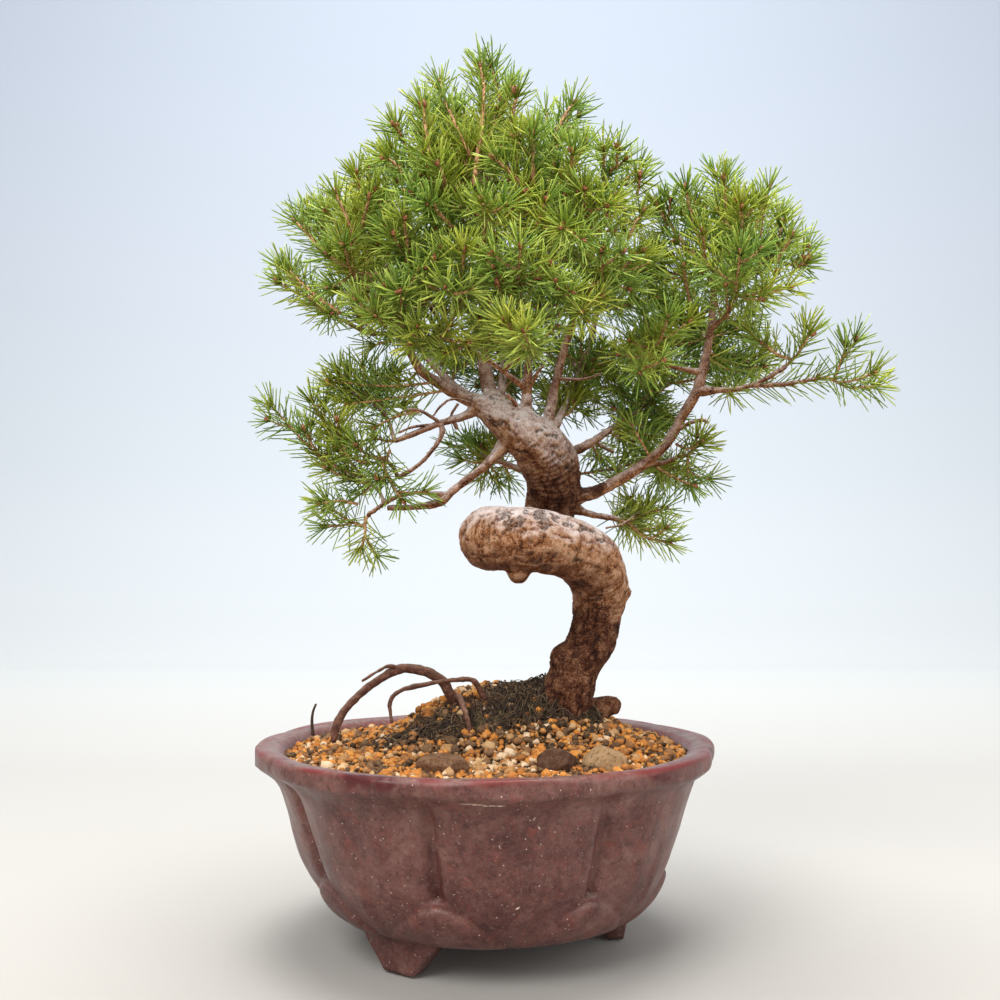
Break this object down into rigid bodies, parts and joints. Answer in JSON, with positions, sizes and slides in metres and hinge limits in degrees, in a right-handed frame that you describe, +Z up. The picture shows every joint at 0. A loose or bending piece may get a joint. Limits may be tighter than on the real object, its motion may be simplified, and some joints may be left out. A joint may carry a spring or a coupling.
{
  "type": "spruce bonsai in a pot",
  "caption": "Spruce bonsai with a coiled trunk, boughs with sprays of needles and arching surface roots, in a lobed glazed pot on bracket feet.",
  "frame": {"origin": "middle of the whole outline, seen from above, on the surface that the pot's feet stand on", "axes": "+Z up; -Y towards the viewer, the tree's front; +X to the right, where the long bough reaches out. The pot's own axis is 43.4 mm to the left of the origin."},
  "size_m": [0.3396, 0.2336, 0.4696],
  "materials": {
    "pot_glaze": "satin purple-brown glaze with red specks",
    "bark": "rough bark",
    "needle_green": "waxy needles",
    "gravel_ochre": "baked clay grains",
    "pebble_grey": "rough",
    "screen_black": "matte"
  },
  "bodies": {
    "root": {"pot": "pot_glaze", "drain_screen": "screen_black", "gravel": "gravel_ochre", "pebble_left": "pebble_grey", "pebble_middle": "pebble_grey", "pebble_right": "pebble_grey", "tree_wood": "bark", "spray_01": "needle_green", "spray_02": "needle_green", "spray_03": "needle_green", "spray_04": "needle_green", "spray_05": "needle_green", "spray_06": "needle_green", "spray_07": "needle_green", "spray_08": "needle_green", "spray_09": "needle_green", "spray_10": "needle_green", "spray_11": "needle_green", "spray_12": "needle_green", "spray_13": "needle_green", "spray_14": "needle_green", "spray_15": "needle_green", "spray_16": "needle_green", "spray_17": "needle_green", "spray_18": "needle_green", "spray_19": "needle_green", "spray_20": "needle_green", "spray_21": "needle_green", "spray_22": "needle_green", "spray_23": "needle_green", "spray_24": "needle_green", "spray_25": "needle_green", "spray_26": "needle_green", "spray_27": "needle_green", "spray_28": "needle_green", "spray_29": "needle_green", "spray_30": "needle_green", "spray_31": "needle_green", "spray_32": "needle_green", "spray_33": "needle_green", "spray_34": "needle_green", "spray_35": "needle_green", "spray_36": "needle_green", "spray_37": "needle_green", "spray_38": "needle_green", "spray_39": "needle_green", "spray_40": "needle_green", "spray_41": "needle_green", "spray_42": "needle_green", "spray_43": "needle_green", "spray_44": "needle_green", "spray_45": "needle_green", "spray_46": "needle_green", "spray_47": "needle_green", "spray_48": "needle_green", "spray_49": "needle_green", "spray_50": "needle_green"}
  },
  "joints": []
}
